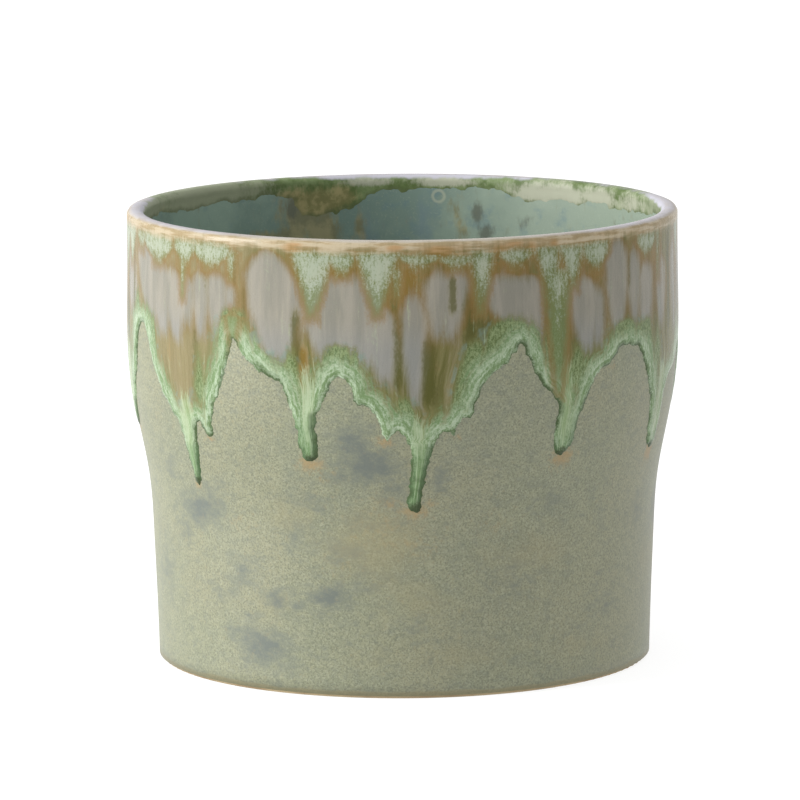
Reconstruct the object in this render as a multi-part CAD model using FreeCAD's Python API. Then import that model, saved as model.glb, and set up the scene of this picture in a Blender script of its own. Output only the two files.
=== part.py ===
"""Glazed stoneware cover pot: a fired clay vessel with three coats of glaze.

Millimetres, +Z up. The origin is the centre of the foot, on the surface the pot stands on, and
-Y is the side with the longest run of glaze. Every coat is a separate closed solid that meets
the clay, or the coat under it, face to face.
"""
import FreeCAD
import Part

import math
import os

from FreeCAD import Vector

# Driving dimensions
FOOT_RADIUS = 70.9  # the clay's outer edge just above the foot
SHOULDER_RADIUS = 79.05  # the clay at its widest
MOUTH_RADIUS = 75.0  # the clay's inner wall just under the lip
CLAY_HEIGHT = 129.75
WALL = 4.6  # clay wall at mid height
FLOOR_TOP = 7.4
FOOT_EDGE_ROUND = 0.8
FOOT_RING_INNER_RADIUS = 61.5
FOOT_RECESS_DEPTH = 2.0
FOOT_RECESS_SLOPE = 1.5  # how much further in the recess's ceiling starts
LIP_OUTER_ROUND = 0.9
LIP_INNER_ROUND = 1.2
LIP_TOP = 78.85  # outer radius of the clay at the lip
INNER_CORNER = 9.0  # fillet between the inner wall and the floor
COAT = 0.35  # thickness of the outer glaze and of the liner glaze
RUN_COAT = 0.5  # thickness of the run glaze on top of them
GLAZE_STOPS_AT = 1.6  # the foot is wiped clean below this height
INSIDE_RUNS = 9  # the run glaze's scallops inside the mouth
INSIDE_RUN_TOP = 3.6  # how far below the lip the arches between them start
INSIDE_RUN_TIP = 6.4  # and their tips

# The outer wall's control points, foot to lip: a straight taper, a soft shoulder, a plumb collar.
OUTER_WALL = [
    (FOOT_RADIUS + 0.15, 0.8),
    (FOOT_RADIUS + 0.5, 16.0),
    (FOOT_RADIUS + 1.35, 34.0),
    (FOOT_RADIUS + 1.75, 48.0),
    (FOOT_RADIUS + 3.3, 59.0),
    (SHOULDER_RADIUS - 1.9, 72.0),
    (SHOULDER_RADIUS - 0.55, 82.0),
    (SHOULDER_RADIUS + 0.05, 95.0),
    (SHOULDER_RADIUS, 108.0),
    (LIP_TOP, 118.0),
    (LIP_TOP, CLAY_HEIGHT - LIP_OUTER_ROUND),
]

# The inner wall's control points, lip to floor corner, one wall inside the outer wall.
INNER_WALL = [
    (MOUTH_RADIUS, CLAY_HEIGHT - LIP_INNER_ROUND),
    (MOUTH_RADIUS, 118.0),
    (SHOULDER_RADIUS - WALL + 0.2, 106.0),
    (SHOULDER_RADIUS - WALL + 0.1, 94.0),
    (SHOULDER_RADIUS - WALL - 0.7, 82.0),
    (SHOULDER_RADIUS - WALL - 2.4, 71.0),
    (FOOT_RADIUS - WALL + 3.1, 58.0),
    (FOOT_RADIUS - WALL + 1.4, 46.0),
    (FOOT_RADIUS - WALL + 0.7, 32.0),
    (FOOT_RADIUS - WALL, FLOOR_TOP + INNER_CORNER),
]

# The run glaze's lower edge outside, run by run once round the pot, as (degrees from -Y towards +X,
# height): each run starts at the top of the arch before it, dips to its tip and climbs to the next arch.
RUNS = [
    [(-69, 101), (-64, 90.5), (-57, 78.5), (-53.2, 70), (-52.4, 62), (-51, 57.6), (-49.8, 62),
     (-48.6, 70), (-47.6, 76.2)],
    [(-47.6, 76.2), (-46.3, 74), (-45, 72.4), (-43.9, 74.5), (-41.6, 83.5), (-38.6, 93), (-36.8, 101.3)],
    [(-36.8, 101.3), (-33, 95.2), (-25.6, 89.6), (-22.8, 77), (-21.8, 70.5), (-20, 67.5),
     (-18.2, 70.5), (-17.8, 79), (-15.5, 88), (-12.4, 92.4)],
    [(-12.4, 92.4), (-10, 86.5), (-6, 81.5), (-3.7, 74.6), (-1.2, 76.8)],
    [(-1.2, 76.8), (1.0, 71), (1.2, 60), (2.3, 54.2), (3.9, 58.5), (5.6, 70.5), (8.6, 76.8)],
    [(8.6, 76.8), (10.6, 75.3), (12.2, 80.5), (15.4, 86.5), (20, 93.5), (24.6, 100.3)],
    [(24.6, 100.3), (28, 92), (32.4, 84), (32.9, 76), (33.9, 69.3), (35.6, 67.8), (37.9, 71),
     (39.6, 80), (43.5, 89.5), (49.5, 94.8), (53, 96.4)],
    [(53, 96.4), (57.5, 95), (61, 87), (63.8, 78), (65.4, 68), (67.8, 64.2), (70, 68), (71.6, 78),
     (76, 85), (82, 91)],
    [(82, 91), (87, 86), (90.5, 76), (92.5, 71.5), (94.8, 76), (98, 88), (104, 97)],
    [(104, 97), (109, 91), (113, 78), (115, 63), (116.6, 59.5), (118.4, 63), (121, 80), (126, 92),
     (131, 95.5)],
    [(131, 95.5), (136, 88), (139, 76), (140.6, 72.5), (142.6, 75), (146, 84)],
    [(146, 84), (150, 80), (152, 68), (153.6, 64.8), (155.4, 68), (158, 84), (164, 96), (169, 99)],
    [(169, 99), (174, 90), (178, 78), (179.4, 61), (181, 56.8), (182.8, 61), (184.6, 76), (190, 88),
     (196, 93.5)],
    [(196, 93.5), (202, 87), (206, 76), (208, 73), (210.2, 76), (214, 90), (220, 98.5)],
    [(220, 98.5), (226, 90), (229.4, 79), (231, 66), (232.8, 62.4), (234.6, 66), (237, 80), (243, 92),
     (249, 95.5)],
    [(249, 95.5), (255, 87), (258, 74), (259.8, 70.6), (261.8, 74), (265, 86), (270, 90)],
    [(270, 90), (274.6, 82), (276.6, 72), (278.4, 68.8), (280.4, 72), (283.4, 82), (287.6, 95),
     (291, 101)],
]


def point(radius, height):
    return Vector(radius, 0, height)


def line(start, end):
    return Part.LineSegment(start, end).toShape()


def spline(outline):
    """A clamped uniform cubic on its control points."""
    curve = Part.BSplineCurve()
    curve.buildFromPoles([point(radius, height) for radius, height in outline], False, 3)
    return curve.toShape()


def quarter(centre, size, start_degrees, turn_degrees):
    """A quarter round of the section about a (radius, height) centre."""
    def at(degrees):
        angle = math.radians(degrees)
        return point(centre[0] + size * math.cos(angle), centre[1] + size * math.sin(angle))

    middle = start_degrees + turn_degrees / 2
    return Part.Arc(at(start_degrees), at(middle), at(start_degrees + turn_degrees)).toShape()


OUTER_ROUND_CENTRE = (LIP_TOP - LIP_OUTER_ROUND, CLAY_HEIGHT - LIP_OUTER_ROUND)
INNER_ROUND_CENTRE = (MOUTH_RADIUS + LIP_INNER_ROUND, CLAY_HEIGHT - LIP_INNER_ROUND)
CROWN_RADIUS = (OUTER_ROUND_CENTRE[0] + INNER_ROUND_CENTRE[0]) / 2


def outside(coat):
    """The section's outside at a coat's thickness off the clay, from the foot to the crown's middle."""
    top = CLAY_HEIGHT + coat
    return [
        spline([(radius + coat, height) for radius, height in OUTER_WALL]),
        quarter(OUTER_ROUND_CENTRE, LIP_OUTER_ROUND + coat, 0, 90),
        line(point(OUTER_ROUND_CENTRE[0], top), point(CROWN_RADIUS, top)),
    ]


def inside(coat):
    """The section's inside at a coat's thickness off the clay, from the crown's middle to the axis."""
    top, floor = CLAY_HEIGHT + coat, FLOOR_TOP + coat
    wall_foot = INNER_WALL[-1]
    corner_centre = (wall_foot[0] - INNER_CORNER, wall_foot[1])
    return [
        line(point(CROWN_RADIUS, top), point(INNER_ROUND_CENTRE[0], top)),
        quarter(INNER_ROUND_CENTRE, LIP_INNER_ROUND + coat, 90, 90),
        spline([(radius - coat, height) for radius, height in INNER_WALL]),
        quarter(corner_centre, INNER_CORNER - coat, 0, -90),
        line(point(corner_centre[0], floor), point(0, floor)),
    ]


def inside_wall(coat):
    """The same, only as far down as the floor corner."""
    return inside(coat)[:3]


def ends(edges):
    """The first and last points of a chain of edges that runs end to end."""
    vertexes = Part.Wire(edges).OrderedVertexes
    return vertexes[0].Point, vertexes[-1].Point


def turned(section, start=0, end=360):
    """The solid that a section sweeps round the axis between two angles in degrees from -Y towards +X."""
    face = section.copy()
    face.rotate(Vector(0, 0, 0), Vector(0, 0, 1), start - 90)
    return face.revolve(Vector(0, 0, 0), Vector(0, 0, 1), end - start)


def coat_section(side, under, over):
    """The section of a coat on one side of the pot, from under to over millimetres off the clay."""
    low, high = side(under), side(over)
    (low_start, low_end), (high_start, high_end) = ends(low), ends(high)
    return Part.Face(Part.Wire(low + [line(low_start, high_start)] + high + [line(low_end, high_end)]))


def below(run):
    """Everything under one run's edge, from inside the wall outwards."""
    def at(radius, turn, height):
        angle = math.radians(turn)
        return Vector(radius * math.sin(angle), -radius * math.cos(angle), height)

    def edge(radius):
        curve = Part.BSplineCurve()
        curve.interpolate(Points=[at(radius, *place) for place in run], Parameters=knots)
        return curve.toShape()

    knots = [0.0]
    for start, end in zip(run, run[1:]):
        knots.append(knots[-1] + math.sqrt((at(SHOULDER_RADIUS, *end) - at(SHOULDER_RADIUS, *start)).Length))
    curtain = Part.makeRuledSurface(edge(MOUTH_RADIUS - 15), edge(SHOULDER_RADIUS + 15))
    return curtain.extrude(Vector(0, 0, -2 * CLAY_HEIGHT))


def clay_body():
    """The fired vessel: foot ring, recessed underside, wall and lip."""
    edge_centre = (OUTER_WALL[0][0] - FOOT_EDGE_ROUND, FOOT_EDGE_ROUND)
    ring_outer = point(edge_centre[0], 0)
    ring_inner = point(FOOT_RING_INNER_RADIUS, 0)
    recess_edge = point(FOOT_RING_INNER_RADIUS - FOOT_RECESS_SLOPE, FOOT_RECESS_DEPTH)
    recess_middle = point(0, FOOT_RECESS_DEPTH)
    underside = [
        quarter(edge_centre, FOOT_EDGE_ROUND, 0, -90),
        line(ring_outer, ring_inner),
        line(ring_inner, recess_edge),
        line(recess_edge, recess_middle),
        line(recess_middle, point(0, FLOOR_TOP)),
    ]
    return turned(Part.Face(Part.Wire(outside(0) + inside(0) + underside)))


def outer_glaze():
    """The matt coat on the outside, wiped off the foot."""
    wiped = Part.makeCylinder(SHOULDER_RADIUS * 2, GLAZE_STOPS_AT)
    return turned(coat_section(outside, 0, COAT)).cut(wiped)


def liner_glaze():
    """The glossy coat inside: half the crown, the inner wall and the floor."""
    return turned(coat_section(inside, 0, COAT))


def run_glaze():
    """The thick glaze the rim was dipped in, which ran down the outside and a little way inside."""
    span = 360 / INSIDE_RUNS
    top = CLAY_HEIGHT - INSIDE_RUN_TOP
    tip = CLAY_HEIGHT - INSIDE_RUN_TIP
    inside_runs = [
        [(span * i, top), (span * (i + 0.5), tip), (span * (i + 1), top)]
        for i in range(INSIDE_RUNS)
    ]
    pieces = []
    for side, runs in ((outside, RUNS), (inside_wall, inside_runs)):
        section = coat_section(side, COAT, COAT + RUN_COAT)
        for run in runs:
            pieces.append(turned(section, run[0][0], run[-1][0]).cut(below(run)))
    return pieces[0].multiFuse(pieces[1:])


os.makedirs("parts", exist_ok=True)
for make in (clay_body, outer_glaze, liner_glaze, run_glaze):
    shape = make()
    solid = shape.Solids[0]
    solid.exportStep(f"parts/{make.__name__}.step")
    box = solid.optimalBoundingBox(False)
    print(f"{make.__name__}: {len(shape.Solids)} solid, valid {solid.isValid()}, {solid.Volume:.0f} mm3,"
          f" radius {box.XMax:.2f}, height {box.ZMin:.2f} to {box.ZMax:.2f}")
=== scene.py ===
"""Glazed stoneware plant pot, piece by piece in the order the potter makes it, in metres."""

import math
import random

import bmesh
import bpy
import numpy as np
from mathutils import Matrix, Vector, geometry, kdtree, noise


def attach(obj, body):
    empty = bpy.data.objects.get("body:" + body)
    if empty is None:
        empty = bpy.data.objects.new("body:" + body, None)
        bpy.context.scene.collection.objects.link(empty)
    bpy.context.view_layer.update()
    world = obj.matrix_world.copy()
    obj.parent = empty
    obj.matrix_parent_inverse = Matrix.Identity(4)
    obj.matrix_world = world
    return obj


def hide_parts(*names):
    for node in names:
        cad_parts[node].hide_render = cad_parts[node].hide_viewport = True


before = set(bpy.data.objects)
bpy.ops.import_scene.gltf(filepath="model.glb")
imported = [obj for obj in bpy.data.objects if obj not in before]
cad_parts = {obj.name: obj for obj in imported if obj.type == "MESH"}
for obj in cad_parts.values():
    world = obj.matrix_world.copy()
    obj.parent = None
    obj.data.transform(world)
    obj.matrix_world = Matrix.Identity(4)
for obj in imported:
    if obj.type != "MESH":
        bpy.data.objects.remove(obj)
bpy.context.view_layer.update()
bpy.ops.object.select_all(action="DESELECT")

# ---------------------------------------------------------------------------------------------
# The clay body is one thrown and turned vessel of buff stoneware, fired hard. It shows bare only
# on its foot, which was wiped clean so that it wouldn't stick to the kiln shelf.

MM = 0.001


class Value:
    """One socket of a finish. Arithmetic on it adds Math nodes, and node() adds any other node."""

    def __init__(self, tree, socket=None):
        self.tree = tree
        self.socket = socket

    def node(self, kind, settings=None, inputs=None, output=0):
        """Adds a node, sets it up, and fills its sockets with numbers, colours or other values."""
        node = self.tree.nodes.new(kind)
        for name, setting in (settings or {}).items():
            setattr(node, name, setting)
        for name, value in (inputs or {}).items():
            if isinstance(value, Value):
                self.tree.links.new(value.socket, node.inputs[name])
            else:
                node.inputs[name].default_value = value
        return Value(self.tree, node.outputs[output]) if node.outputs else None

    def maths(self, operation, *values):
        return self.node("ShaderNodeMath", {"operation": operation}, dict(enumerate(values)))

    def __add__(self, other):
        return self.maths("ADD", self, other)

    def __sub__(self, other):
        return self.maths("SUBTRACT", self, other)

    def __rsub__(self, other):
        return self.maths("SUBTRACT", other, self)

    def __mul__(self, other):
        return self.maths("MULTIPLY", self, other)

    __radd__ = __add__
    __rmul__ = __mul__

    def swing(self, size):
        """Noise that swings about 0 instead of a half, and is this many times as large."""
        return (self - 0.5) * size

    def rise(self, low, high):
        """0 below low, 1 above high, smooth between. With low above high it falls instead."""
        return self.node(
            "ShaderNodeMapRange", {"interpolation_type": "SMOOTHSTEP"}, {0: self, 1: low, 2: high}
        )

    def paint(self, red, green, blue):
        """A plain colour as a value."""
        plain = self.node("ShaderNodeRGB")
        plain.socket.default_value = pigment(red, green, blue)
        return plain

    def over(self, under, mask):
        """This colour laid over another where the mask is 1."""
        return self.node("ShaderNodeMix", {"data_type": "RGBA"}, {0: mask, 6: under, 7: self}, 2)

    def under(self, red, green, blue, mask):
        """This colour with a plain one laid over it where the mask is 1."""
        return self.paint(red, green, blue).over(self, mask)

    def kept(self, name):
        """A number stored at the mesh's vertices."""
        return self.node("ShaderNodeAttribute", {"attribute_name": name}, output=2)

    def millimetres(self, axis):
        """A place's x, y or z in millimetres."""
        return self.node("ShaderNodeSeparateXYZ", {}, {0: self}, axis) * 1000

    def stretched(self, across, along):
        """A place stretched for a texture: so many features a metre across the pot and up it."""
        return self.node(
            "ShaderNodeVectorMath", {"operation": "MULTIPLY"}, {0: self, 1: (across, across, along)}
        )

    def grain(self, scale, detail=2.0, roughness=0.5, distortion=0.0):
        """Noise at this place, from 0 to 1 and mostly near a half."""
        return self.node(
            "ShaderNodeTexNoise",
            {},
            {
                "Vector": self, "Scale": scale, "Detail": detail,
                "Roughness": roughness, "Distortion": distortion,
            },
        )


def finish(name):
    """A new material and the empty value that its nodes start from."""
    material = bpy.data.materials.new(name)
    material.use_nodes = True
    material.node_tree.nodes.clear()
    return material, Value(material.node_tree)


def fired(start, colour, roughness, height, lift, shine=0.5):
    """Ends a finish: a surface of this colour and roughness, raised by a height map of this lift."""
    normal = start.node("ShaderNodeBump", {}, {"Strength": 1.0, "Distance": lift, "Height": height})
    surface = start.node(
        "ShaderNodeBsdfPrincipled",
        {},
        {
            "Base Color": colour,
            "Roughness": roughness,
            "IOR": 1.5,
            "Specular IOR Level": shine,
            "Normal": normal,
        },
    )
    start.node("ShaderNodeOutputMaterial", {}, {"Surface": surface})


def pigment(red, green, blue):
    """A colour given on the 0 to 255 scale of a screen."""
    parts = [part / 255 for part in (red, green, blue)]
    return [part / 12.92 if part <= 0.04045 else ((part + 0.055) / 1.055) ** 2.4 for part in parts] + [1]


clay, start = finish("buff_stoneware")
place = start.node("ShaderNodeTexCoord", output=3)
grog = place.grain(1400, 3, 0.7)
smudge = place.grain(60, 3)
toasted = smudge.rise(0.42, 0.68) * 0.8 + grog.rise(0.55, 0.75) * 0.35
colour = start.paint(158, 142, 110).under(130, 108, 76, toasted)
fired(start, colour, 0.85, grog, 0.12 * MM)

clay_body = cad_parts["clay_body"]
clay_body.data.materials.clear()
clay_body.data.materials.append(clay)

# ---------------------------------------------------------------------------------------------
# The outer glaze is a satin-matt sage coat a third of a millimetre thick, dipped on and wiped off
# the foot. It breaks into fine speckle, with blue-grey clouds, and rust where a run of the other
# glaze ended on it.

COAT = 0.35
TURNS = 320  # facets round the pot
CLAY_HEIGHT = 129.75
LIP_OUTER_ROUND = 0.9
LIP_INNER_ROUND = 1.2
OUTER_LIP = (78.85 - LIP_OUTER_ROUND, CLAY_HEIGHT - LIP_OUTER_ROUND)
MOUTH_RADIUS = 75.0
INNER_LIP = (MOUTH_RADIUS + LIP_INNER_ROUND, CLAY_HEIGHT - LIP_INNER_ROUND)
CROWN = (OUTER_LIP[0] + INNER_LIP[0]) / 2
OUTER_WALL = [
    (71.05, 0.8), (71.4, 16), (72.25, 34), (72.65, 48), (74.2, 59), (77.15, 72),
    (78.5, 82), (79.1, 95), (79.05, 108), (78.85, 118), (78.85, OUTER_LIP[1]),
]


def wall_section(name, wall):
    """The pot's wall as a line of edges in the XZ plane, open in edit mode with nothing selected."""
    bpy.ops.curve.primitive_nurbs_path_add()
    section = bpy.context.object
    section.name = section.data.name = name
    section.data.splines.clear()
    line = section.data.splines.new("NURBS")
    line.points.add(len(wall) - 1)
    for control, (radius, height) in zip(line.points, wall):
        control.co = (radius * MM, 0, height * MM, 1)
    line.order_u = 4
    line.use_endpoint_u = True
    line.resolution_u = 10
    bpy.ops.object.convert(target="MESH")
    bpy.ops.object.mode_set(mode="EDIT")
    bpy.ops.mesh.select_mode(type="VERT")
    bpy.ops.mesh.select_all(action="DESELECT")
    return bpy.context.object


def pick_end(section, highest):
    """Selects only the section's end at the top, or the one at the bottom."""
    bpy.ops.mesh.select_all(action="DESELECT")
    mesh = bmesh.from_edit_mesh(section.data)
    ends = [vert for vert in mesh.verts if len(vert.link_edges) == 1]
    end = (max if highest else min)(ends, key=lambda vert: vert.co.z)
    end.select = True
    mesh.select_flush_mode()
    bmesh.update_edit_mesh(section.data)
    return end.co.copy()


def round_off(centre, degrees, steps=8):
    """Carries the selected end round an arc about a (radius, height) centre; plus turns +X to +Z."""
    bpy.ops.mesh.spin(
        steps=steps,
        angle=math.radians(degrees),
        center=(centre[0] * MM, 0, centre[1] * MM),
        axis=(0, 1, 0),
    )


def run_out(section, radius, highest):
    """Carries one of the section's ends straight in or out to a radius."""
    end = pick_end(section, highest)
    bpy.ops.mesh.extrude_region_move(TRANSFORM_OT_translate={"value": (radius * MM - end.x, 0, 0)})


def chain(section):
    """The section's (radius, height) points in order, from the end that is lower or nearer the axis."""
    bpy.ops.object.mode_set(mode="OBJECT")
    mesh = bmesh.new()
    mesh.from_mesh(section.data)
    ends = [vert for vert in mesh.verts if len(vert.link_edges) == 1]
    vert, last = min(ends, key=lambda vert: vert.co.z), None
    points = []
    while vert:
        points.append((vert.co.x / MM, vert.co.z / MM))
        onward = [edge for edge in vert.link_edges if edge != last]
        last = onward[0] if onward else None
        vert = last.other_vert(vert) if last else None
    mesh.free()
    return np.array(points)


def thrown(section, outward):
    """Spins the section into a shell whose faces point away from the clay, and gives it its thickness."""
    bpy.ops.object.mode_set(mode="EDIT")
    bpy.ops.mesh.select_all(action="SELECT")
    bpy.ops.mesh.spin(steps=TURNS, angle=math.tau, center=(0, 0, 0), axis=(0, 0, 1))
    bpy.ops.mesh.select_all(action="SELECT")
    bpy.ops.mesh.remove_doubles(threshold=0.00002)
    bpy.ops.mesh.normals_make_consistent(inside=False)
    bpy.ops.object.mode_set(mode="OBJECT")
    middle = min(section.data.polygons, key=lambda face: abs(face.center.z - 60 * MM))
    away = middle.center.x * middle.normal.x + middle.center.y * middle.normal.y
    if (away > 0) != outward:
        section.data.flip_normals()
    bpy.ops.object.shade_smooth()
    bpy.ops.object.modifier_add(type="SOLIDIFY")
    skin = section.modifiers[-1]
    skin.thickness = COAT * MM
    skin.offset = -1
    skin.use_even_offset = True
    bpy.ops.object.modifier_apply(modifier=skin.name)
    section.select_set(False)


def turn_and_height(mesh):
    """Each vertex's angle in degrees from the front towards +X, its height and radius in millimetres."""
    places = np.empty(len(mesh.vertices) * 3)
    mesh.vertices.foreach_get("co", places)
    x, y, z = places.reshape(-1, 3).T / MM
    return np.degrees(np.arctan2(x, -y)), z, np.hypot(x, y)


def keep(mesh, name, numbers):
    """Stores one number at each vertex for the finish to read."""
    layer = mesh.attributes.new(name, "FLOAT", "POINT")
    layer.data.foreach_set("value", np.asarray(numbers, dtype=np.float32))


def apart(turn, centre):
    """Degrees from a centre, the short way round."""
    return (turn - centre + 180) % 360 - 180


outer_glaze = wall_section("sage_coat", [(radius + COAT, height) for radius, height in OUTER_WALL])
pick_end(outer_glaze, highest=True)
round_off(OUTER_LIP, 90)
run_out(outer_glaze, CROWN, highest=True)
outside_line = chain(outer_glaze)
thrown(outer_glaze, outward=True)

# Clouds in the coat as (degrees, height, half width, half height, strength), with the lengths in millimetres.
CLOUDS = [
    (-52, 50, 9, 5, 1), (-47, 54, 5, 5, 0.6), (-58, 46, 4, 6, 0.5), (-7, 67, 9, 5, 1), (-10.5, 73.5, 6, 5, 0.9),
    (-2, 61, 4, 5, 0.6), (-15, 64, 4, 2.5, 0.5), (-17, 29, 5.5, 3.5, 1), (-34, 13, 9, 5, 1), (-42, 16, 4, 3, 0.6),
    (-39, 34, 5, 6, 0.6), (-30, 27, 4, 2.5, 0.9), (-24, 26, 3, 2, 0.6), (8, 63, 3, 4, 0.6), (-13, 42, 7, 3, 0.6),
    (-45, 27, 4, 2, 0.5), (-36, 21, 5, 2, 0.4), (-9, 33, 6, 3, 0.5), (-5, 50, 9, 3, 0.4), (-20, 56, 6, 3, 0.5),
    (-62, 60, 5, 4, 0.4), (-28, 8, 6, 3, 0.4), (2, 20, 5, 3, 0.3), (33, 54, 6, 3, 0.3), (66, 46, 5, 5, 0.35),
    (-25, 46, 6, 5, 0.4), (24, 34, 9, 5, 0.25), (52, 22, 6, 4, 0.3), (-70, 30, 6, 8, 0.4), (84, 44, 9, 6, 0.7),
    (91, 37, 5, 7, 0.9), (104, 18, 9, 4, 0.6), (128, 66, 8, 6, 0.9), (133, 58, 5, 6, 0.7), (121, 52, 4, 3, 0.5),
    (148, 30, 12, 7, 0.4), (141, 12, 7, 4, 0.9), (164, 40, 4, 6, 0.8), (168, 33, 6, 3, 0.6), (-176, 14, 10, 5, 0.5),
    (-163, 56, 9, 6, 0.9), (-158, 50, 5, 7, 0.7), (-150, 62, 4, 3, 0.5), (-140, 22, 6, 4, 0.9), (-133, 26, 4, 3, 0.6),
    (-118, 40, 11, 8, 0.35), (-108, 62, 8, 5, 0.9), (-102, 56, 5, 5, 0.7), (-92, 18, 9, 5, 0.6),
]
# Rust where a run ended, in the same form.
RUST = [
    (-51.2, 57.4, 1.7, 1.5, 0.9), (-45, 72.2, 1.9, 1.3, 0.8), (-20, 67.2, 3.8, 2.6, 1), (-17, 64, 5, 4, 0.3),
    (-3.8, 74, 2.4, 1.5, 0.9), (2.4, 54.2, 3.6, 2.6, 1), (-3, 56, 2.2, 2, 0.6), (6, 56, 1.6, 1.6, 0.6),
    (10.6, 75.2, 1.8, 1.4, 0.6), (35.6, 67.2, 4, 2.9, 1), (67.6, 63.4, 2.8, 3.2, 1), (48, 91, 2, 2, 0.4),
    (-5, 50, 8, 8, 0.3), (2, 44, 7, 5, 0.3), (-14, 38, 6, 4, 0.25), (-40, 48, 5, 3, 0.25), (20, 50, 6, 4, 0.2),
    (-81.6, 68.4, 2.2, 1.6, 0.8), (92.4, 71, 2.2, 1.6, 0.8), (116.8, 59.4, 2.6, 1.6, 0.9), (140.8, 72, 2.2, 1.6, 0.8),
    (153.6, 64.8, 2.4, 1.6, 0.9), (-178.8, 57, 2.8, 1.8, 0.9), (-151.6, 73.4, 2.2, 1.6, 0.7),
    (-127.4, 62.2, 2.8, 1.8, 0.9), (-100.4, 70.4, 2.2, 1.6, 0.8), (-150, 40, 8, 5, 0.3), (110, 44, 7, 5, 0.3),
]
# Khaki warmth in the coat, in the same form.
WARM = [
    (-6, 44, 16, 12, 0.9), (4, 28, 12, 9, 0.7), (-24, 52, 10, 6, 0.6), (28, 40, 20, 6, 0.5), (10, 12, 22, 5, 0.6),
    (-30, 24, 9, 6, 0.5), (44, 12, 14, 4, 0.5), (78, 30, 16, 9, 0.6), (112, 54, 14, 8, 0.7), (132, 30, 14, 9, 0.6),
    (172, 22, 18, 8, 0.7), (-168, 44, 12, 8, 0.6), (-132, 44, 16, 10, 0.7), (-98, 32, 14, 8, 0.6),
]


def patches(spots, turn, height, radius):
    """How strongly each place lies in one of a list of soft round patches."""
    most = np.zeros(len(turn))
    for centre, level, half_width, half_height, strength in spots:
        across = np.radians(apart(turn, centre)) * radius / half_width
        most = np.maximum(most, strength * np.exp(-(across**2) - ((height - level) / half_height) ** 2))
    return most


def stain(mesh, lists):
    """Stores each of some lists of patches at the mesh's vertices."""
    for name, spots in lists.items():
        keep(mesh, name, patches(spots, *turn_and_height(mesh)))


stain(outer_glaze.data, {"cloud": CLOUDS, "rust": RUST, "warm": WARM})

sage, start = finish("sage_glaze")
place = start.node("ShaderNodeTexCoord", output=3)
level = place.millimetres(2)
cloud = start.kept("cloud")
rust = start.kept("rust")
warm = start.kept("warm")
fine = place.grain(1900, 2, 0.6)
speck = place.grain(1400, 2, 0.6)
mottle = place.grain(160, 4, 0.62)
drift = place.grain(26, 3, 0.55)
wash = place.stretched(70, 22).grain(1, 3, 0.6)
colour = start.paint(115, 118, 95).under(122, 124, 99, mottle.rise(0.36, 0.62))
colour = colour.under(126, 124, 98, drift.rise(0.42, 0.66) * 0.5)
colour = colour.under(112, 117, 98, wash.rise(0.5, 0.68) * 0.35)
colour = colour.under(140, 142, 119, speck.rise(0.46, 0.66) * 0.56)
colour = colour.under(88, 92, 75, fine.rise(0.54, 0.36) * 0.68)
torn = cloud + place.stretched(240, 400).grain(1, 5, 0.72).swing(2.2)
colour = colour.under(98, 103, 90, torn.rise(-0.1, 0.6) * 0.7)
colour = colour.under(84, 91, 86, torn.rise(0.35, 1.1) * 0.8)
burnt = (rust + place.grain(620, 4, 0.7).swing(1.9)).rise(0.1, 1.0)
colour = colour.under(138, 116, 76, burnt * 0.72)
khaki = (warm + place.grain(120, 4, 0.65).swing(1.2)).rise(0.1, 1.0)
colour = colour.under(128, 121, 88, khaki * 0.45)
foot = (level + place.grain(90, 3).swing(2.0)).rise(2.4, 1.6)
colour = colour.under(124, 116, 84, foot * 0.6)
fired(start, colour, 0.4 + speck * 0.1, fine * 0.6 + mottle * 0.8, 0.05 * MM)
outer_glaze.data.materials.append(sage)
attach(outer_glaze, "root")
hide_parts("outer_glaze")

# ---------------------------------------------------------------------------------------------
# The liner glaze is poured in and out again: a glossy coat over half the lip, the inner wall and
# the floor. It fired to a mottled teal, with brown and grey clouds; the paler sage towards +X is
# painted light, where the lamp at the west falls on the inner wall there.

FLOOR_TOP = 7.4
FLOOR_RADIUS = 66.3
CORNER = 9.0
INNER_WALL = [
    (MOUTH_RADIUS, INNER_LIP[1]), (MOUTH_RADIUS, 118.0), (74.65, 106.0), (74.55, 94.0), (73.75, 82.0), (72.05, 71.0),
    (69.4, 58), (67.7, 46), (67, 32), (FLOOR_RADIUS, FLOOR_TOP + CORNER),
]

liner_glaze = wall_section("liner_coat", [(radius - COAT, height) for radius, height in reversed(INNER_WALL)])
pick_end(liner_glaze, highest=True)
round_off(INNER_LIP, -90)
run_out(liner_glaze, CROWN, highest=True)
pick_end(liner_glaze, highest=False)
round_off((FLOOR_RADIUS - CORNER, FLOOR_TOP + CORNER), -90)
for radius in (40, 20, 0):
    run_out(liner_glaze, radius, highest=False)
inside_line = chain(liner_glaze)
thrown(liner_glaze, outward=False)

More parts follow.
